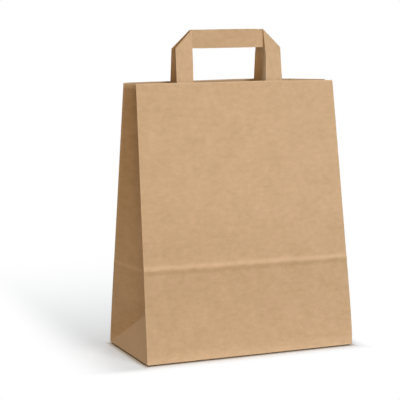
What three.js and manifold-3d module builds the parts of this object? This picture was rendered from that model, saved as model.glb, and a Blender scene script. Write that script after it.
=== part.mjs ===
// Block-bottom paper carrier bag with flat tape handles, standing open and empty.
// Millimetres. Origin at the middle of the base, +X along the width, front panel at -Y, +Z up.
import * as THREE from 'three';
import { mergeVertices } from 'three/addons/utils/BufferGeometryUtils.js';
import Module from 'manifold-3d';

const wasm = await Module();
wasm.setup();

// The body's sheet
const panelWidth = 260;
const gussetDepth = 124;
const panelHeight = 315.5;
const paper = 0.35;
const seamOverlap = 20;
const seamInset = 26;
const flapOverlap = 24;
const foldWidth = 0.9;

// How far the bag stands open, and how far each side edge of a panel draws in at the mouth
const mouthDepth = 26.5;
const frontDrawIn = 5.5;
const backDrawIn = 1.5;

// The cross crease left by the flat-packed fold
const creaseHeight = 104.5;
const creaseBandAbove = 6;
const creaseBandBelow = 4.5;
const creaseRise = 1.5;

// The tape handles
const tapeWidth = 20;
const tapeThickness = 0.7;
const handleGap = 88;
const handleRise = 58.5;
const handleShift = -8.5;
const tapeEnd = 42;
const foldGap = 0.4;
const frontHandleTilt = 2.9;
const rearHandleTilt = 1.6;

// The patches that hold the tape ends
const patchLength = 174;
const patchHeight = 48;
const patchBelowMouth = 6;
const patchRamp = 2.5;

// Fits
const pasteGap = 0.3;
const bite = 0.05;

// The panels lean inward from the base to the mouth.
const lean = Math.asin((gussetDepth - mouthDepth) / 2 / panelHeight);
const mouthHeight = panelHeight * Math.cos(lean);
const halfGusset = gussetDepth / 2;
const flapReach = (gussetDepth + flapOverlap) / 2;

// The gusset's lower triangle lies flat in its own plane, so its apex stands halfGusset from the base fold.
const apexHeight = halfGusset * Math.cos(lean) / (1 + Math.sin(lean));
const apexInset = Math.sqrt(halfGusset ** 2 - apexHeight ** 2);

const kraft = (color, roughness) => new THREE.MeshStandardMaterial({ color, roughness, metalness: 0 });
const mix = THREE.MathUtils.lerp;

function solidOf(geometry) {
  const bare = geometry.index ? geometry.toNonIndexed() : geometry;
  bare.deleteAttribute('normal');
  bare.deleteAttribute('uv');
  const merged = mergeVertices(bare, 1e-4);
  return new wasm.Manifold(new wasm.Mesh({
    numProp: 3,
    vertProperties: new Float32Array(merged.attributes.position.array),
    triVerts: new Uint32Array(merged.index.array),
  }));
}

function meshOf(name, solid, material) {
  const { vertProperties, triVerts } = solid.getMesh();
  const geometry = new THREE.BufferGeometry();
  geometry.setAttribute('position', new THREE.BufferAttribute(vertProperties, 3));
  geometry.setIndex(new THREE.BufferAttribute(triVerts, 1));
  geometry.computeVertexNormals();
  const mesh = new THREE.Mesh(geometry, material);
  mesh.name = name;
  return mesh;
}

// An outline in the plane of two axes, drawn out along the third from one level to another.
function prism(outline, axes, from, to) {
  const shape = new THREE.Shape(outline.map(([a, b]) => new THREE.Vector2(a, b)));
  const geometry = new THREE.ExtrudeGeometry(shape, { depth: to - from, bevelEnabled: false });
  geometry.translate(0, 0, from);
  geometry.applyMatrix4(new THREE.Matrix4().makeBasis(...axes));
  return solidOf(geometry);
}

const X = new THREE.Vector3(1, 0, 0);
const Y = new THREE.Vector3(0, 1, 0);
const Z = new THREE.Vector3(0, 0, 1);
const planAxes = [X, Y, Z];
const profileAxes = [Y, Z, X];
const faceAxes = [X, Z, Y.clone().negate()];

// A closed solid through plan outlines that all have as many points, lowest first.
function loft(rings) {
  const points = rings.flatMap(({ outline, z }) => outline.map(([x, y]) => [x, y, z]));
  const count = rings[0].outline.length;
  const faces = [];
  for (let row = 0; row + 1 < rings.length; row++) {
    for (let i = 0; i < count; i++) {
      const a = row * count + i;
      const b = row * count + (i + 1) % count;
      faces.push(a, b, b + count, a, b + count, a + count);
    }
  }
  const cap = (row, flip) => {
    const outline = rings[row].outline.map(([x, y]) => new THREE.Vector2(x, y));
    for (const [a, b, c] of THREE.ShapeUtils.triangulateShape(outline, [])) {
      const corners = flip ? [a, c, b] : [a, b, c];
      faces.push(...corners.map((corner) => row * count + corner));
    }
  };
  cap(0, true);
  cap(rings.length - 1, false);
  const geometry = new THREE.BufferGeometry();
  geometry.setAttribute('position', new THREE.Float32BufferAttribute(points.flat(), 3));
  geometry.setIndex(faces);
  return solidOf(geometry);
}

// The sheet's plan outline at one height, counter-clockwise from the front left fold. The seam ply stands
// proud of the back panel when asked for; rise pushes the four walls out at the cross crease.
function planOutline(z, rise, seamPly) {
  const up = z / mouthHeight;
  const front = panelWidth / 2 - frontDrawIn * up;
  const back = panelWidth / 2 - backDrawIn * up;
  const half = mix(gussetDepth, mouthDepth, up) / 2 + rise;
  const middle = (front + back) / 2;
  const below = Math.min(z / apexHeight, 1);
  const inset = z < apexHeight
    ? apexInset * below
    : Math.sqrt(halfGusset ** 2 - (half * Math.cos(lean)) ** 2);
  const spread = mix(halfGusset - foldWidth, foldWidth / 2, below);
  const seam = seamPly ? [
    [back - seamInset, half],
    [back - seamInset, half + paper],
    [back - seamInset - seamOverlap, half + paper],
    [back - seamInset - seamOverlap, half],
  ] : [];
  return [
    [-front, -half],
    [front, -half],
    [middle - inset, -spread],
    [middle - inset, spread],
    [back, half],
    ...seam,
    [-back, half],
    [-middle + inset, spread],
    [-middle + inset, -spread],
  ];
}

// The same outline one sheet thickness further in.
function inward(outline, thickness) {
  return outline.map((here, i) => {
    const before = outline[(i + outline.length - 1) % outline.length];
    const after = outline[(i + 1) % outline.length];
    const [a, b] = [[before, here], [here, after]].map(([from, to]) => {
      const length = Math.hypot(to[0] - from[0], to[1] - from[1]);
      return [(from[1] - to[1]) / length, (to[0] - from[0]) / length];
    });
    const scale = thickness / (1 + a[0] * b[0] + a[1] * b[1]);
    return [here[0] + scale * (a[0] + b[0]), here[1] + scale * (a[1] + b[1])];
  });
}

// Heights of the outlines: base, gusset apex, the crease with its band, and the curve of the gusset fold.
const creaseZ = creaseHeight * Math.cos(lean);
const upperRows = 4;
const levels = [
  { z: 0, rise: 0 },
  { z: apexHeight, rise: 0 },
  { z: creaseZ - creaseBandBelow, rise: 0 },
  { z: creaseZ, rise: creaseRise },
  { z: creaseZ + creaseBandAbove, rise: 0 },
];
for (let row = 1; row <= upperRows; row++) {
  levels.push({ z: mix(creaseZ + creaseBandAbove, mouthHeight, row / upperRows), rise: 0 });
}
levels.sort((lower, upper) => lower.z - upper.z);

// One base flap: a trapezoid from its long fold to past the middle, mitred at 45 degrees. side is -1 in front.
function flapOutline(side) {
  const half = panelWidth / 2;
  const outline = [
    [-half, side * halfGusset],
    [half, side * halfGusset],
    [half - flapReach, side * (halfGusset - flapReach)],
    [-half + flapReach, side * (halfGusset - flapReach)],
  ];
  return side < 0 ? outline : outline.reverse();
}

const rectangle = (halfX, halfY) => [[-halfX, -halfY], [halfX, -halfY], [halfX, halfY], [-halfX, halfY]];

// The body: walls one sheet thick on a base of three plies. Underneath, the back flap lies lowest, the front
// flap one ply up and the mitred gusset ends two plies up. Inside, the gusset ends stop short of the middle.
function bagBody() {
  const baseTop = 3 * paper;
  const outer = loft(levels.map(({ z, rise }) => ({ z, outline: planOutline(z, rise, true) })));
  const above = { z: mouthHeight + paper, rise: 0 };
  const floor = { z: baseTop, rise: 0 };
  const hollow = loft([floor, ...levels.slice(1), above].map(({ z, rise }) => (
    { z, outline: inward(planOutline(z, rise, false), paper) }
  )));
  const middleWell = prism(
    rectangle(panelWidth / 2 - flapReach, halfGusset - paper), planAxes, 2 * paper, baseTop + bite);
  const backFlap = prism(flapOutline(1), planAxes, -2 * paper, 3 * paper);
  const frontFlap = prism(flapOutline(-1), planAxes, paper, 3 * paper);
  const underside = prism(
    rectangle(panelWidth / 2 - paper, halfGusset - paper), planAxes, -paper, 2 * paper);
  const relief = underside.subtract(backFlap).subtract(frontFlap);
  return outer.subtract(hollow).subtract(middleWell).subtract(relief);
}

// Distances inward from a panel's outer face, measured square to it.
const tapeFace = paper + pasteGap;
const tapeBack = tapeFace + tapeThickness;
const patchOverTape = tapeBack + pasteGap;

// One handle in its panel's own frame: x along the mouth, y inward, z up the panel from the mouth's edge.
// The tape's two legs lie outside, and its bar is folded behind them along the two mitres.
function tapeHandle(tilt) {
  const outerX = handleGap / 2 + tapeWidth;
  const angle = THREE.MathUtils.degToRad(tilt);
  const tilted = (depth, height) => [
    depth * Math.cos(angle) - height * Math.sin(angle),
    depth * Math.sin(angle) + height * Math.cos(angle),
  ];
  const standing = (solid) => solid.rotate([tilt, 0, 0]);
  const legProfile = [
    [tapeFace, -tapeEnd],
    [tapeBack, -tapeEnd],
    tilted(tapeBack, 0),
    tilted(tapeBack, handleRise + tapeWidth),
    tilted(tapeFace, handleRise + tapeWidth),
    tilted(tapeFace, 0),
  ];
  const barFace = tapeBack + foldGap;
  const barOutline = [
    [-outerX, handleRise - tapeWidth],
    [outerX, handleRise - tapeWidth],
    [outerX - tapeWidth, handleRise],
    [-outerX + tapeWidth, handleRise],
  ];
  let handle = standing(prism(barOutline, faceAxes, -barFace - tapeThickness, -barFace));
  for (const side of [-1, 1]) {
    const leg = prism(legProfile, profileAxes, handleGap / 2, outerX);
    const beyondFold = standing(prism([
      [outerX + tapeWidth, handleRise - 2 * tapeWidth],
      [outerX + tapeWidth, handleRise + 2 * tapeWidth],
      [outerX - 3 * tapeWidth, handleRise + 2 * tapeWidth],
    ], faceAxes, -tapeBack - tapeWidth, tapeWidth));
    const half = leg.subtract(beyondFold).add(standing(mitreFold(outerX)));
    handle = handle.add(side < 0 ? half.mirror([1, 0, 0]) : half);
  }
  return handle;
}

// The rounded spine of one 45 degree fold, which joins a leg to the bar behind it.
function mitreFold(outerX) {
  const radius = tapeThickness + foldGap / 2;
  const section = new THREE.Shape();
  section.moveTo(-bite, -radius);
  section.lineTo(0, -radius);
  section.absarc(0, 0, radius, -Math.PI / 2, Math.PI / 2, false);
  section.lineTo(-bite, radius);
  section.closePath();
  const spine = new THREE.ExtrudeGeometry(section, {
    depth: tapeWidth * Math.SQRT2,
    bevelEnabled: false,
    curveSegments: 6,
  });
  const along = new THREE.Vector3(-1, 0, 1).normalize();
  const outward = new THREE.Vector3(1, 0, 1).normalize();
  const place = new THREE.Matrix4().makeBasis(outward, new THREE.Vector3().crossVectors(along, outward), along);
  place.setPosition(outerX, tapeFace + radius, handleRise - tapeWidth);
  return solidOf(spine.applyMatrix4(place));
}

// A patch pasted to the panel between and beside the tape ends, and raised over each of them.
function tapePatch() {
  const inner = handleGap / 2 - pasteGap;
  const outer = handleGap / 2 + tapeWidth + pasteGap;
  const right = [
    [inner - patchRamp, tapeFace],
    [inner, patchOverTape],
    [outer, patchOverTape],
    [outer + patchRamp, tapeFace],
    [patchLength / 2, tapeFace],
  ];
  const left = right.map(([x, y]) => [-x, y]).reverse();
  const face = [...left, ...right];
  const back = face.map(([x, y]) => [x, y + paper]).reverse();
  return prism([...face, ...back], planAxes, -patchBelowMouth - patchHeight, -patchBelowMouth);
}

// Each panel carries its handle and patch in its own plane; the rear panel is the front one turned round.
function panelFrame(side) {
  const frame = new THREE.Group();
  frame.position.set(handleShift, side * mouthDepth / 2, mouthHeight);
  frame.rotation.set(-lean, 0, side < 0 ? 0 : Math.PI, 'ZXY');
  return frame;
}

const bag = new THREE.Group();
bag.name = 'paper_carrier_bag';
bag.add(meshOf('bag_body', bagBody(), kraft(0xcdab86, 0.85)));

const front = panelFrame(-1);
front.add(meshOf('front_handle', tapeHandle(frontHandleTilt), kraft(0xc8a37c, 0.8)));
front.add(meshOf('front_handle_patch', tapePatch(), kraft(0xc6a27d, 0.85)));
bag.add(front);

const rear = panelFrame(1);
rear.add(meshOf('rear_handle', tapeHandle(rearHandleTilt), kraft(0xc8a37c, 0.8)));
rear.add(meshOf('rear_handle_patch', tapePatch(), kraft(0xc6a27d, 0.85)));
bag.add(rear);

export default bag;
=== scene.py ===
# Brown kraft carrier bag, standing open and empty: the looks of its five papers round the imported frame.
# Metres. The bag stands on its base at the origin, +X along its width, front panel at -Y, +Z up.
import math

import bmesh
import bpy
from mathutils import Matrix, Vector, noise


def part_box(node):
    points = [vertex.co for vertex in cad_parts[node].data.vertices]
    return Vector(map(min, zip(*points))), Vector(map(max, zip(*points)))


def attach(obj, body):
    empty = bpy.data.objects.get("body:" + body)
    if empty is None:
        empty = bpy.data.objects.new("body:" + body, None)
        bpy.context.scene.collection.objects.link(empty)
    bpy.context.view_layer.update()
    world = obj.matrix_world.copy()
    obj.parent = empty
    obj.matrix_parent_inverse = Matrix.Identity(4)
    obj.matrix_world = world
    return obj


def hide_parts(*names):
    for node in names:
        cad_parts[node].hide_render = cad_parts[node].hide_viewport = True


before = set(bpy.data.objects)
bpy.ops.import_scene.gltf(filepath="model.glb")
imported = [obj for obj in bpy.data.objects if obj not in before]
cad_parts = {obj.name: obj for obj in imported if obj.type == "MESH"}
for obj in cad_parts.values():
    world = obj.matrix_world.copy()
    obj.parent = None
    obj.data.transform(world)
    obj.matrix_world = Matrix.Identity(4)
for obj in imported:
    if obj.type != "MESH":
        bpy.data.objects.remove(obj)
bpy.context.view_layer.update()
mm = 0.001

# Bag body: one sheet of brown kraft paper, wrapped into a tube and pasted along a seam down the back. Its
# sides are folded inward as gussets, and its lower end is folded under and pasted as a block bottom. A cross
# crease runs all round where the flat-packed bag was folded over.
body_low, body_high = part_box("bag_body")
half_width = body_high.x
half_depth = -body_low.y
mouth_height = body_high.z
mouth_depth = 26.5 * mm
front_draw_in = 5.5 * mm
back_draw_in = 1.25 * mm
mouth_shift = 0.75 * mm
panel_height = math.hypot(mouth_height, half_depth - mouth_depth / 2)
lean = math.asin((half_depth - mouth_depth / 2) / panel_height)
sheet_paper = 0.22 * mm
ply = sheet_paper + 0.03 * mm
seam_inset = 26 * mm
seam_overlap = 20 * mm
lap_rise = (16 * mm, 22 * mm)
flap_reach = 72 * mm
gusset_flap_trim = 0.985

# The gusset's lower triangle is flat: its apex stands half a gusset's depth from the base fold.
apex_height = half_depth * math.cos(lean) / (1 + math.sin(lean))
apex_inset = math.sqrt(half_depth ** 2 - apex_height ** 2)
gusset_dip = half_depth * math.cos(lean) - apex_height

# Folds and the cross crease, in the flat sheet: measured along it from the middle of the front panel, and
# up it from the base fold. Mesh lines stand this far to each side of every fold, which rounds it.
fold_flanks = (0.35 * mm, 1.2 * mm)
pitch = 4 * mm
gusset_start = half_width
gusset_middle = half_width + half_depth
gusset_end = half_width + 2 * half_depth
hidden_edge = gusset_end + 2 * half_width - seam_inset
lapping_edge = gusset_end + seam_inset + seam_overlap
crease_height = 104.7 * mm
crease_rise = 1.7 * mm
crease_above = 6 * mm
crease_below = 5.5 * mm
crease_step = 0.5 * mm
crease_step_fade = (-90 * mm, -20 * mm)
crease_at_corner = 0.4
crease_in_gusset = 0.6
crease_recovery = 12 * mm
crease_rows = [-6.4, -5, -3.2, -1.2, -0.3, 0.3, 1.2, 3, 5, 6.8]
rows_level_at = 2.2 * crease_height
mitre_tolerance = 0.01 * mm
gusset_sag = 7 * mm
gusset_bow = 3.5 * mm

# How the walls stand: the front swells a little at the crease, the back panel bows out at the mouth, and
# the handles pull both panels into a slight wave there. The folds round the base stand clear of the ground.
front_swell = 3.6 * mm
foot_dip = 1.8 * mm
foot_curve = 9 * mm
back_bow = 5 * mm
front_crown = 0.5 * mm
back_crown = 0.9 * mm
mouth_wave = 3 * mm
handle_spread = 110 * mm
wave_height = 0.35 * mm
wave_length = 75 * mm
foot_lift = 1 * mm
foot_reach = 14 * mm
foot_blend = 25 * mm
back_edge_bow = 0.7 * mm
front_left_edge_bow = -0.3 * mm
front_right_edge_bow = (0.5 * mm, 2.25 * mm)

# Two long soft dents below the front handle: how far each stands out, and its top and foot in the panel.
front_dents = [
    (-0.5 * mm, (-40 * mm, 314 * mm), (-31 * mm, 278 * mm)),
    (0.25 * mm, (52 * mm, 314 * mm), (61 * mm, 262 * mm)),
]
dent_reach = 6 * mm
dent_fade = (1.35, 0.7)


def between(low, high, share):
    return low + (high - low) * share


def smooth(low, high, value):
    share = min(max((value - low) / (high - low), 0), 1)
    return share * share * (3 - 2 * share)


def crease_at(along):
    """Height of the cross crease in the sheet: it drops towards the back, and more inside the gussets."""
    front_left, front_right, back_left, back_right = 105.6 * mm, 104.4 * mm, 101.3 * mm, 102.7 * mm
    across = (min(max(along / half_width, -1), 1) + 1) / 2
    front = between(front_left, front_right, across)
    back = between(back_left, back_right, across)
    inward = max(1 - abs(abs(along) - gusset_middle) / half_depth, 0)
    return between(front, back, smooth(gusset_start, gusset_end, abs(along))) - gusset_sag * inward


def ridge(climb):
    """Outward rise of the crease, a blunt edge, at a height above its line."""
    if climb > 0:
        return crease_rise * max(1 - climb / crease_above, 0)
    rise = between(crease_step, crease_rise, max(1 + climb / crease_below, 0))
    return rise * smooth(*crease_step_fade, climb)


def dent(x, v, top, foot):
    """Share of a long soft dent that runs from top to foot in the panel and fades out past its foot."""
    run = (top[1] - v) / (top[1] - foot[1])
    off = (x - between(top[0], foot[0], run)) / dent_reach
    return math.exp(-off * off) * smooth(*dent_fade, run)


def relief(side, x, v):
    """How far the panel stands out of its flat plane. side is -1 for the front panel and 1 for the back."""
    across = 1 - (x / half_width) ** 2
    calm = 1 - (x / half_width) ** 6
    rise = v / panel_height
    along = x if side < 0 else math.copysign(gusset_end + half_width - abs(x), x)
    crease = crease_at(along)
    clear = smooth(half_width, half_width - crease_recovery, abs(x))
    out = ridge(v - crease) * between(crease_at_corner, 1, clear)
    out += wave_height * calm * noise.noise(Vector((x, v, side * wave_length)) / wave_length)
    out += mouth_wave * math.sin(math.pi * x / handle_spread) * across * rise ** 3
    out -= foot_dip * calm * (1 - math.exp(-v / foot_curve)) * (1 - rise)
    if side > 0:
        return out + back_bow * across * rise ** 1.6
    out += front_swell * across * (min(v / crease, 1) ** 2.4 - smooth(crease, panel_height, v))
    for height, top, foot in front_dents:
        out += height * dent(x, v, top, foot)
    return out


def drawn_in(side, v):
    """Share of its width that a panel keeps at this height, as its sides draw in towards the mouth."""
    return 1 - (front_draw_in if side < 0 else back_draw_in) / half_width * v / panel_height


def edge_bow(side, x, v):
    """How far a corner fold bows out above the base, where the front left one is pressed in a little."""
    if side > 0:
        bow = back_edge_bow
    elif x < 0:
        bow = front_left_edge_bow
    else:
        bow = between(*front_right_edge_bow, max(1 - v / panel_height, 0) ** 0.75)
    return bow * (x / half_width) ** 3 * (1 - math.exp(-v / foot_reach))


def panel_point(side, x, v, lift=0):
    """A point of the front or back panel, lifted outward from its outer face."""
    crown = front_crown if side < 0 else back_crown
    climb = v + crown * (1 - (x / half_width) ** 2) * (v / panel_height) ** 4
    rise = v / panel_height
    along = x * drawn_in(side, v) + mouth_shift * rise + edge_bow(side, x, v)
    place = Vector((along, side * (half_depth - climb * math.sin(lean)), climb * math.cos(lean)))
    outward = Vector((0, side * math.cos(lean), math.sin(lean)))
    return place + outward * (relief(side, x, v) + lift)


def gusset_point(side, along, v):
    """A point of a side gusset, along it from its front fold. side is -1 on the left and 1 on the right."""
    panel = -1 if along < half_depth else 1
    reach = half_depth - abs(along - half_depth)
    climb = min(v / half_depth, 1)
    if reach > v:
        place = Vector((half_width - apex_inset * climb, along - half_depth, apex_height * climb))
    else:
        edge = panel_point(panel, side * half_width, v)
        edge.x *= side
        if v < half_depth:
            inner = Vector((half_width - apex_inset * climb, panel * (half_depth - v), apex_height * climb))
        else:
            depth = half_depth - v * math.sin(lean)
            inset = math.sqrt(half_depth ** 2 - depth ** 2 - gusset_dip ** 2)
            drawn = (front_draw_in + back_draw_in) / 2 * v / panel_height
            inner = Vector((half_width - drawn - inset, 0, v * math.cos(lean) - gusset_dip))
        share = reach / min(v, half_depth)
        bulge = Vector((abs(edge.y), panel * (inner.x - edge.x), 0)).normalized()
        place = edge.lerp(inner, share) + bulge * gusset_bow * climb ** 2 * 4 * share * (1 - share)
    crease = ridge(v - crease_at(side * (gusset_start + along))) * crease_in_gusset
    place.x = side * (place.x + crease * smooth(0, crease_recovery, reach))
    return place


def sheet_point(along, v):
    """Where a point of the flat sheet lies in the folded bag."""
    side = math.copysign(1, along)
    reach = abs(along)
    if reach <= gusset_start:
        level = 2 * ply
        wall = panel_point(-1, along, max(v, 0))
        under = Vector((along * (1 + v / half_width), -half_depth - v, level))
    elif reach <= gusset_end:
        level = 3 * ply
        wall = gusset_point(side, reach - gusset_start, max(v, 0))
        under = Vector((side * (half_width + v), (reach - gusset_middle) * gusset_flap_trim, level))
    else:
        x = side * (gusset_end + half_width - reach)
        lap = ply * smooth(*lap_rise, along - gusset_end)
        level = ply - lap
        wall = panel_point(1, x, max(v, 0), lap)
        under = Vector((x * (1 + v / half_width), half_depth + v, level))
    if v < 0:
        beside = min(half_width - abs(under.x), half_depth - abs(under.y))
        under.z += foot_lift * smooth(foot_reach, 0, beside)
        return under
    wall.z += (level + foot_lift) * smooth(foot_blend, 0, v)
    return wall


def stations(start, end):
    """Mesh lines between two folds: close beside each fold, and evenly spaced in between."""
    length = end - start
    marks = list(fold_flanks)
    marks += [pitch * step for step in range(1, round(length / pitch))]
    marks += [length - flank for flank in reversed(fold_flanks)]
    return [start + mark for mark in marks]


folds = [-gusset_end, -gusset_middle, -gusset_start, gusset_start, gusset_middle, gusset_end]
columns = [-hidden_edge] + stations(-hidden_edge, folds[0])[len(fold_flanks):]
for start, end in zip(folds, folds[1:]):
    columns += stations(start, end)
columns += stations(folds[-1], lapping_edge)[:-len(fold_flanks)] + [lapping_edge]
flap_rows = [-flap_reach + step * 2 * pitch for step in range(int(flap_reach / 2 / pitch))]
rows = flap_rows + [-pitch] + [-flank for flank in reversed(fold_flanks)]
rows += stations(0, half_depth)
lower_steps = round((crease_height + crease_rows[0] * mm - half_depth) / pitch)
rows += [half_depth + pitch * step for step in range(1, lower_steps + 1)]
rows += [crease_height + row * mm for row in crease_rows]
upper_start = rows[-1]
upper_steps = round((panel_height - upper_start) / pitch)
rows += [between(upper_start, panel_height, step / upper_steps) for step in range(1, upper_steps + 1)]

bm = bmesh.new()
flat = bm.verts.layers.float_vector.new("sheet")
grid = bmesh.ops.create_grid(bm, x_segments=len(columns) - 1, y_segments=len(rows) - 1, size=1)
diagonal = []
for index, vert in enumerate(grid["verts"]):
    along = columns[index % len(columns)]
    v = rows[index // len(columns)]
    reach = half_depth - abs(abs(along) - gusset_middle)
    if abs(reach - v) < mitre_tolerance:
        diagonal.append(vert)
    if v > half_depth:
        below = (v - half_depth) / (crease_height - half_depth)
        above = smooth(rows_level_at, crease_height, v)
        v += (crease_at(along) - crease_height) * min(below, above)
    vert[flat] = (along, v, v - crease_at(along))
bmesh.ops.connect_verts(bm, verts=diagonal)
cuts = []
for face in bm.faces:
    reaches = [abs(vert[flat].x) for vert in face.verts]
    across_fold = any(min(reaches) < fold < max(reaches) for fold in (gusset_start, gusset_end))
    if across_fold and max(vert[flat].y for vert in face.verts) < 0:
        cuts.append(face)
bmesh.ops.delete(bm, geom=cuts, context="FACES")
for vert in bm.verts:
    vert.co = sheet_point(vert[flat].x, vert[flat].y)


class Signal:
    """An output socket of a shader node. Sums of signals and numbers add Math nodes to its node tree."""

    def __init__(self, tree, socket=None):
        self.tree = tree
        self.socket = socket

    def node(self, kind, settings, values, output=0):
        """Adds a node of this kind, with its settings first and then the values or links of its sockets."""
        made = self.tree.nodes.new("ShaderNode" + kind)
        for name, setting in settings.items():
            setattr(made, name, setting)
        for name, value in values.items():
            if isinstance(value, Signal):
                self.tree.links.new(value.socket, made.inputs[name])
            else:
                made.inputs[name].default_value = value
        return Signal(self.tree, made.outputs[output] if made.outputs else None)

    def sum(self, operation, first, second):
        return self.node("Math", {"operation": operation}, {0: first, 1: second})

    def outputs(self):
        """All the outputs of this signal's node."""
        return [Signal(self.tree, socket) for socket in self.socket.node.outputs]

    def most(self, other):
        return self.sum("MAXIMUM", self, other)

    def root(self):
        return self.sum("POWER", self, 0.5)

    def __add__(self, other):
        return self.sum("ADD", self, other)

    def __radd__(self, other):
        return self.sum("ADD", other, self)

    def __sub__(self, other):
        return self.sum("SUBTRACT", self, other)

    def __rsub__(self, other):
        return self.sum("SUBTRACT", other, self)

    def __mul__(self, other):
        return self.sum("MULTIPLY", self, other)

    def __rmul__(self, other):
        return self.sum("MULTIPLY", other, self)

    def __abs__(self):
        return self.sum("ABSOLUTE", self, 0)

    def rising(self, low, high):
        """0 below the low value, 1 above the high one, and a smooth step in between."""
        return self.node("MapRange", {"interpolation_type": "SMOOTHSTEP"},
                         {"Value": self, "From Min": low, "From Max": high})

    def within(self, reach):
        """1 where the signal is 0, fading to 0 where it gets to this reach."""
        return 1 - abs(self).rising(0, reach)


def kraft_paper(name, flat_name, pale, deep, marks=None):
    """Uncoated brown kraft: long pulp fibres, a cloudy formation, faint ribs from the wire and dark specks.

    marks adds wear and painted light and shade to the tone, from the three numbers of the place in the flat
    sheet.
    """
    material = bpy.data.materials.new(name)
    material.use_nodes = True
    tree = material.node_tree
    shader = tree.nodes["Principled BSDF"]
    paper = Signal(tree)
    place = paper.node("Attribute", {"attribute_name": flat_name}, {}, "Vector")

    def grain(across, up, detail):
        """Noise with marks this long across and up the sheet."""
        spread = paper.node("VectorMath", {"operation": "MULTIPLY"}, {0: place, 1: (1 / across, 1 / up, 0)})
        values = {"Vector": spread, "Scale": 1, "Detail": detail, "Roughness": 0.6}
        return paper.node("TexNoise", {}, values)

    cloud = grain(26 * mm, 30 * mm, 2)
    mottle = grain(9 * mm, 6 * mm, 3)
    rib = grain(22 * mm, 1.1 * mm, 1)
    fibre = grain(1.9 * mm, 0.7 * mm, 3)
    speck = grain(1.6 * mm, 0.6 * mm, 0)
    tone = 0.5 + 0.55 * (cloud - 0.5) + 0.8 * (mottle - 0.5) + 0.15 * (rib - 0.5) + 0.88 * (fibre - 0.5)
    tone = tone - 0.35 * speck.rising(0.74, 0.8)
    if marks:
        tone = tone + marks(*paper.node("SeparateXYZ", {}, {"Vector": place}).outputs(), mottle)
    colour = paper.node("Mix", {"data_type": "RGBA"}, {"Factor": tone, 6: deep, 7: pale}, 2)
    height = fibre + 0.4 * rib + 0.8 * mottle
    bump = paper.node("Bump", {}, {"Strength": 0.3, "Distance": 0.15 * mm, "Height": height})
    tree.links.new(colour.socket, shader.inputs["Base Color"])
    tree.links.new((0.76 + 0.16 * fibre).socket, shader.inputs["Roughness"])
    tree.links.new(bump.socket, shader.inputs["Normal"])
    shader.inputs["Specular IOR Level"].default_value = 0.3
    return material


def finished(name, mesh, material, thickness, offset):
    """A sheet of this thickness from its one face, smooth over its folds and sharp at its cut edges."""
    for edge in mesh.edges:
        edge.smooth = not edge.is_boundary
    data = bpy.data.meshes.new(name)
    mesh.to_mesh(data)
    mesh.free()
    data.polygons.foreach_set("use_smooth", [True] * len(data.polygons))
    data.materials.append(material)
    piece = bpy.data.objects.new(name, data)
    bpy.context.scene.collection.objects.link(piece)
    thick = piece.modifiers.new("paper", "SOLIDIFY")
    thick.thickness = thickness
    thick.offset = offset
    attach(piece, "root")
    return piece


# The sheet's two colours, and its marks in steps of the tone between them. Rubbed places are pale. The
# crease's upper side, the foot and the mouth's edge are paler, partly from wear and partly as painted
# highlight, and the gussets' lower triangles are paler as painted highlight. Painted shade darkens the
# crease's lower side, the panels above and below the crease, and the gussets' upper part. The ranges are
# heights above the base fold, or above the crease, over which the painted shade comes or goes.
sheet_pale = (0.695, 0.522, 0.351, 1)
sheet_deep = (0.487, 0.351, 0.21, 1)
side_fold_line = 1.6 * mm
base_fold_line = 2.2 * mm
mitre_line = 1.4 * mm
pale_mouth_band = 2.2 * mm
seam_line = 1.2 * mm
dust_and_shadow_line = 2 * mm
pale_foot_height = 16 * mm
triangle_painted_highlight = 1.6
triangle_margin = 3 * mm
gusset_margin = 4 * mm
crease_line = 1 * mm
lower_shade_from = (10 * mm, 100 * mm)
above_crease_shade_from = (4 * mm, 12 * mm)
above_crease_shade_to = (15 * mm, 80 * mm)
upper_gusset_shade_from = (20 * mm, 140 * mm)
mitre_rub = 0.6
crease_rub_and_highlight = 0.36
crease_painted_shade = 0.22
lower_painted_shade = 0.2
above_crease_painted_shade = 0.11
gusset_painted_shade = 0.25
lower_wear_and_highlight = 0.36
mouth_fray_and_highlight = 0.4
seam_rub = 0.4
seam_dust_and_shadow = 0.7


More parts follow.
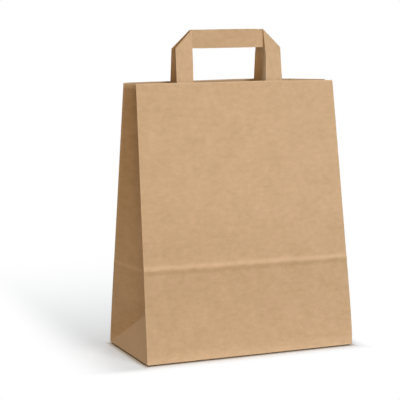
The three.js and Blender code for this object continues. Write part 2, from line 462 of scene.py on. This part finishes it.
def sheet_wear_and_painted_light(along, up, past_crease, mottle):
    """Folds and the lap's cut edge are rubbed pale. The crease's upper side, the foot and the mouth's edge
    are paler, partly rubbed and partly painted highlight, and the gussets' lower triangles carry painted
    highlight.
    Painted shade darkens the crease's lower side, the panels above and below the crease, and the gussets'
    upper part. Dust and a painted shadow of the lap's edge lie beside the back seam.
    """
    inward = half_depth - abs(abs(along) - gusset_middle)
    past_mitre = inward - up
    folds = inward.within(side_fold_line) + up.within(base_fold_line)
    folds = folds + mitre_rub * past_mitre.within(mitre_line)
    # Paler above the crease: partly rubbed, partly painted highlight.
    crease_rubbed_and_lit = (past_crease - 0.5 * crease_above).within(0.65 * crease_above)
    # Painted shade on the crease's lower side.
    below_crease_shade = (past_crease + 0.6 * crease_below).within(0.7 * crease_below)
    # Painted shade on the panels below the crease, deepening towards it.
    lower_shade = up.rising(*lower_shade_from) * (1 - past_crease.rising(-crease_line, crease_line))
    # Painted shade on the panels in a band above the crease.
    above_crease_shade = past_crease.rising(*above_crease_shade_from) * (1 - past_crease.rising(*above_crease_shade_to))
    # Painted shade on the gussets' upper part, where they close in.
    upper_gusset_shade = past_crease.rising(*upper_gusset_shade_from)
    on_gusset = inward.rising(0, gusset_margin)
    # All of this darkening is painted shade.
    panel_painted_shade = crease_painted_shade * below_crease_shade + lower_painted_shade * lower_shade + above_crease_painted_shade * above_crease_shade
    painted_shade = panel_painted_shade * (1 - on_gusset) + gusset_painted_shade * upper_gusset_shade * on_gusset
    # Paler foot, partly scuffed and partly painted highlight, and painted highlight on the lower triangles.
    worn_and_lit = 1 - up.rising(0, pale_foot_height) + triangle_painted_highlight * past_mitre.rising(0, triangle_margin)
    # Paler mouth edge: partly frayed, partly painted highlight.
    frayed_and_lit = up.rising(panel_height - pale_mouth_band, panel_height)
    seam_edge = (along - lapping_edge).within(seam_line)
    # Dark line beside the lap's edge: partly dust, partly the lap's painted shadow.
    dust_and_shadow = (along + hidden_edge - seam_overlap).within(dust_and_shadow_line)
    tone = folds * (0.2 + 0.5 * mottle) + crease_rub_and_highlight * crease_rubbed_and_lit - painted_shade
    tone = tone + lower_wear_and_highlight * worn_and_lit + mouth_fray_and_highlight * frayed_and_lit
    return tone + seam_rub * seam_edge - seam_dust_and_shadow * dust_and_shadow


sheet_kraft = kraft_paper("sheet_kraft", "sheet", sheet_pale, sheet_deep, sheet_wear_and_painted_light)
body = finished("kraft_body", bm, sheet_kraft, sheet_paper, -1)
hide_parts("bag_body")

# Handles: two flat tapes of brown kraft, several plies pasted together. Each is folded over at 45 degrees
# at its two top corners, so that its bar lies behind its legs, and its ends are pasted inside a panel.
tape_width = 21 * mm
tape_thickness = 0.6 * mm
handle_gap = 87.9 * mm
handle_rise = 60.4 * mm
handle_shift = -8.5 * mm
tape_end = 42 * mm
mitre_radius = 0.55 * mm
mitre_cuts = 4
tape_pitch = 2.5 * mm
cut_snap = 1e-7
paste = 0.1 * mm
bar_reach = (handle_gap + tape_width) / 2
bar_height = handle_rise - tape_width / 2
leg_height = handle_rise - tape_width
tape_reach = bar_reach + bar_height + tape_end
tape_depth = sheet_paper + paste + tape_thickness / 2

# How each handle hangs: its shift along the mouth, how far its left and right legs splay there and stand off
# at their inner edges above it, how far it has slipped down, and its tilt out of the panel.
front_shift = -8.8 * mm
front_splay = (0.2 * mm, 0.9 * mm)
front_stand_off = (0.6 * mm, 4 * mm)
front_sink = 0.4 * mm
front_tilt = math.radians(2.9)
rear_shift = -6.8 * mm
rear_splay = (-0.5 * mm, 0)
rear_stand_off = (0.4 * mm, 0.8 * mm)
rear_sink = 1.3 * mm
rear_tilt = math.radians(1.6)
stand_off_height = 30 * mm


def mitred(along, across):
    """Folds the flat tape over at its mitre: gives the place along and up the mouth, and outward."""
    span = abs(along)
    past = (span + across - bar_reach) / math.sqrt(2)
    beside = (span - across) / math.sqrt(2)
    quarter = mitre_radius * math.pi / 2
    if past < -quarter:
        out = 0
    elif past > quarter:
        past, out = -past, 2 * mitre_radius
    else:
        turn = past / mitre_radius
        past, out = mitre_radius * math.cos(turn) - quarter, mitre_radius * (1 + math.sin(turn))
    total = bar_reach + past * math.sqrt(2)
    part = beside * math.sqrt(2)
    return math.copysign((total + part) / 2, along), bar_height + (total - part) / 2, out


def on_panel(side, x, height, inward, tilt=0):
    """A point inside a panel, up from its mouth's edge. Above the edge it tilts out of the panel."""
    v = panel_height + min(height, 0)
    place = panel_point(side, x / drawn_in(side, v), v, -inward)
    angle = lean - tilt
    return place + Vector((0, -side * math.sin(angle), math.cos(angle))) * max(height, 0)


def tape_handle(name, node, side, shift, splay, sink, tilt, stand_off):
    bm = bmesh.new()
    flat = bm.verts.layers.float_vector.new("tape")
    segments = round(2 * tape_reach / tape_pitch)
    bmesh.ops.create_grid(bm, x_segments=segments, y_segments=round(tape_width / tape_pitch), size=1)
    bmesh.ops.scale(bm, vec=(tape_reach, tape_width / 2, 1), verts=bm.verts)
    for end in (-1, 1):
        for step in range(-mitre_cuts, mitre_cuts + 1):
            cut = bar_reach + step / (2 * mitre_cuts) * math.pi * mitre_radius * math.sqrt(2)
            bmesh.ops.bisect_plane(bm, geom=bm.verts[:] + bm.edges[:] + bm.faces[:], dist=cut_snap,
                                   plane_co=(end * cut, 0, 0), plane_no=(end, 1, 0))
    for vert in bm.verts:
        along, across = vert.co.x, vert.co.y
        vert[flat] = (along, across, side)
        x, height, out = mitred(along, across)
        away = max(abs(along) + across - bar_reach, 0) / math.sqrt(2)
        turned = min(away, across + tape_width / 2) / tape_width
        gap = stand_off[along > 0] * turned * smooth(0, stand_off_height, height)
        depth = tape_depth + 2 * mitre_radius - out - gap
        x += shift + math.copysign(1, along) * splay[along > 0] * min(max(1 - height / leg_height, 0), 1)
        vert.co = on_panel(side, x, height - sink, depth, tilt)
    if side > 0:
        bmesh.ops.reverse_faces(bm, faces=bm.faces)
    piece = finished(name, bm, tape_kraft, tape_thickness, 0)
    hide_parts(node)


# The tapes' two colours, and their marks. The front legs carry painted shade for a short length above the
# mouth, where they pass behind the panel's edge, and the rear tape is paler as a painted fill light.
tape_pale = (0.705, 0.531, 0.355, 1)
tape_deep = (0.495, 0.356, 0.22, 1)
face_edge = 0.2 * mm
leg_foot = 7 * mm
rear_painted_fill = 0.3
bar_darkening = 0.24
leg_foot_painted_shade = 0.22


def tape_tone_and_painted_light(along, across, side, mottle):
    """The bars, which show the tape's other face, are a little darker. The rear tape is paler, a painted fill
    light on its shaded legs, and painted shade darkens the feet of the front legs.
    """
    bar = (bar_reach - abs(along) - across).rising(-face_edge, face_edge)
    # Painted shade on the front legs' feet, below the panel's edge.
    foot = (abs(along) - bar_reach - bar_height).rising(-leg_foot, 0)
    # The rear tape is paler as painted fill light on its shaded legs.
    rear = side.rising(-1, 1)
    return rear_painted_fill * rear - bar_darkening * bar - leg_foot_painted_shade * foot * (1 - rear)


tape_kraft = kraft_paper("tape_kraft", "tape", tape_pale, tape_deep, tape_tone_and_painted_light)
tape_handle("front_tape_handle", "front_handle", -1, front_shift, front_splay, front_sink, front_tilt,
            front_stand_off)
tape_handle("rear_tape_handle", "rear_handle", 1, rear_shift, rear_splay, rear_sink, rear_tilt,
            rear_stand_off)

# Handle patches: a strip of the tapes' brown kraft pasted inside each panel, over both ends of its tape. It
# lies on the panel between and beside the ends, and rises over each of them.
patch_length = 174 * mm
patch_height = 48 * mm
patch_drop = 6 * mm
patch_paper = 0.3 * mm
patch_pitch = 1 * mm
raised_beside = 1.2 * mm
raised_past_end = 5 * mm
patch_ramp = 3 * mm


def handle_patch(name, node, side, shift):
    bm = bmesh.new()
    flat = bm.verts.layers.float_vector.new("patch")
    segments = round(patch_length / patch_pitch)
    bmesh.ops.create_grid(bm, x_segments=segments, y_segments=round(patch_height / pitch), size=1)
    bmesh.ops.scale(bm, vec=(patch_length / 2, patch_height / 2, 1), verts=bm.verts)
    for vert in bm.verts:
        along, across = vert.co.x, vert.co.y
        vert[flat] = (along, across, 0)
        height = across - patch_drop - patch_height / 2
        beyond = abs(abs(handle_shift + along - shift) - bar_reach) - tape_width / 2
        over = smooth(patch_ramp, raised_beside, beyond) if height > -tape_end - raised_past_end else 0
        depth = sheet_paper + paste + over * (tape_thickness + paste)
        vert.co = on_panel(side, handle_shift + along, height, depth)
    if side < 0:
        bmesh.ops.reverse_faces(bm, faces=bm.faces)
    piece = finished(name, bm, patch_kraft, patch_paper, 1)
    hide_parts(node)


patch_kraft = kraft_paper("patch_kraft", "patch", tape_pale, tape_deep)
handle_patch("front_patch", "front_handle_patch", -1, front_shift)
handle_patch("rear_patch", "rear_handle_patch", 1, rear_shift)

# Studio: a white floor that runs into a white surround and keeps the bag's shadow. A soft lamp stands in
# front, one overhead and one behind, two warm ones on the left, and a faint even light comes from all round.
floor_reach = 6
floor_drop = 0.05 * mm
base_margin = (-2 * mm, 0.5 * mm)
contact_width = 7 * mm
shadow_width = 86 * mm
shadow_fade = 12 * mm
halo_sharpness = 4
# Colour of a glow that only the camera sees, which lifts the floor's shadow as painted light.
shadow_lift_colour = (0.2, 0.26, 0.32, 1)
fill_strength = 0.12
floor_mesh = bmesh.new()
bmesh.ops.create_grid(floor_mesh, x_segments=1, y_segments=1, size=floor_reach)
bmesh.ops.translate(floor_mesh, vec=(0, 0, -floor_drop), verts=floor_mesh.verts)
floor_data = bpy.data.meshes.new("floor")
floor_mesh.to_mesh(floor_data)
floor_mesh.free()
floor = bpy.data.objects.new("floor", floor_data)
bpy.context.scene.collection.objects.link(floor)
floor_paint = bpy.data.materials.new("floor_paint")
floor_paint.use_nodes = True
floor_tree = floor_paint.node_tree
floor_tree.nodes.clear()
world = bpy.data.worlds.new("surround")
bpy.context.scene.world = world
world.use_nodes = True
world.node_tree.nodes.clear()


def looked_at(tree):
    """1 for the rays that show a surface to the camera, straight or through a gloss."""
    rays = tree.nodes.new("ShaderNodeLightPath").outputs
    return (Signal(tree, rays["Is Camera Ray"]) + Signal(tree, rays["Is Glossy Ray"])
            + Signal(tree, rays["Is Transmission Ray"]))


ground = Signal(floor_tree)
spot = ground.node("TexCoord", {}, {}, "Object")
across, back = ground.node("SeparateXYZ", {}, {"Vector": spot}).outputs()[:2]
left = -half_width - across
behind = back - half_depth
right = across - half_width
before = -half_depth - back
outside = left.most(behind).most(right).most(before)
halo = right.most(before).most(0) * halo_sharpness
leftward = left.most(0)
clear = (leftward * leftward + behind.most(0) * shadow_fade + halo * halo).root()
matt = ground.node("BsdfDiffuse", {}, {"Color": (0.8, 0.8, 0.8, 1)})
# Under the bag's base the floor is painted darker, a painted contact shadow, and a bluish glow that only the
# camera sees lifts the floor's shadow as painted light, fading in from the base's edge.
under = ground.node("BsdfDiffuse", {}, {"Color": (0.4, 0.4, 0.4, 1)})
pale = ground.node("BsdfDiffuse", {}, {"Color": (0.9, 0.9, 0.9, 1)})
painted_contact = ground.node("MixShader", {}, {0: outside.rising(*base_margin), 1: under, 2: pale})
glow = ground.node("Emission", {}, {"Color": shadow_lift_colour, "Strength": outside.rising(0, contact_width)})
near = ground.node("AddShader", {}, {0: painted_contact, 1: glow})
white_out = ground.node("Emission", {}, {"Color": (1, 1, 1, 1), "Strength": 1})
shown = ground.node("MixShader", {}, {0: clear.rising(0, shadow_width), 1: near, 2: white_out})
cover = ground.node("MixShader", {}, {0: looked_at(floor_tree), 1: matt, 2: shown})
ground.node("OutputMaterial", {}, {"Surface": cover})
floor_data.materials.append(floor_paint)

around = Signal(world.node_tree)
fill = around.node("Background", {}, {"Color": (1, 1, 1, 1), "Strength": fill_strength})
white = around.node("Background", {}, {"Color": (1, 1, 1, 1), "Strength": 1})
surround = around.node("MixShader", {}, {0: looked_at(world.node_tree), 1: fill, 2: white})
around.node("OutputWorld", {}, {"Surface": surround})


def soft_lamp(name, turn, climb, distance, size, energy, colour):
    """A square lamp that faces the bag, turned to its right and raised by these degrees."""
    data = bpy.data.lights.new(name, "AREA")
    data.shape = "SQUARE"
    data.size = size
    data.energy = energy
    data.color = colour
    lamp = bpy.data.objects.new(name, data)
    turn, climb = math.radians(turn), math.radians(climb)
    way = Vector((math.sin(turn) * math.cos(climb), -math.cos(turn) * math.cos(climb), math.sin(climb)))
    lamp.location = Vector((0, 0, mouth_height / 2)) + way * distance
    lamp.rotation_euler = way.to_track_quat("Z", "Y").to_euler()
    bpy.context.scene.collection.objects.link(lamp)


white_light = (1, 1, 1)
ivory_light = (1, 0.88, 0.7)
warm_light = (1, 0.52, 0.1)
soft_lamp("front_lamp", turn=12, climb=14, distance=1.5, size=0.45, energy=10.6, colour=white_light)
soft_lamp("top_lamp", turn=-60, climb=72, distance=2, size=1.2, energy=10, colour=ivory_light)
soft_lamp("warm_card", turn=-22, climb=9, distance=3, size=1.35, energy=16.5, colour=warm_light)
soft_lamp("side_card", turn=-85, climb=20, distance=1.6, size=2.2, energy=1.6, colour=warm_light)
soft_lamp("rear_lamp", turn=155, climb=8, distance=2.2, size=0.8, energy=20, colour=white_light)

camera_turn = math.radians(-23.185)
camera_drop = math.radians(7.575)
camera_data = bpy.data.cameras.new("camera")
camera_data.lens = 121.1
camera_data.sensor_width = 36
camera = bpy.data.objects.new("camera", camera_data)
camera.location = (-0.6496, -1.424, 0.381)
camera.rotation_euler = (math.pi / 2 - camera_drop, 0, camera_turn)
bpy.context.scene.collection.objects.link(camera)
bpy.context.scene.camera = camera
bpy.context.scene.view_settings.view_transform = "Standard"
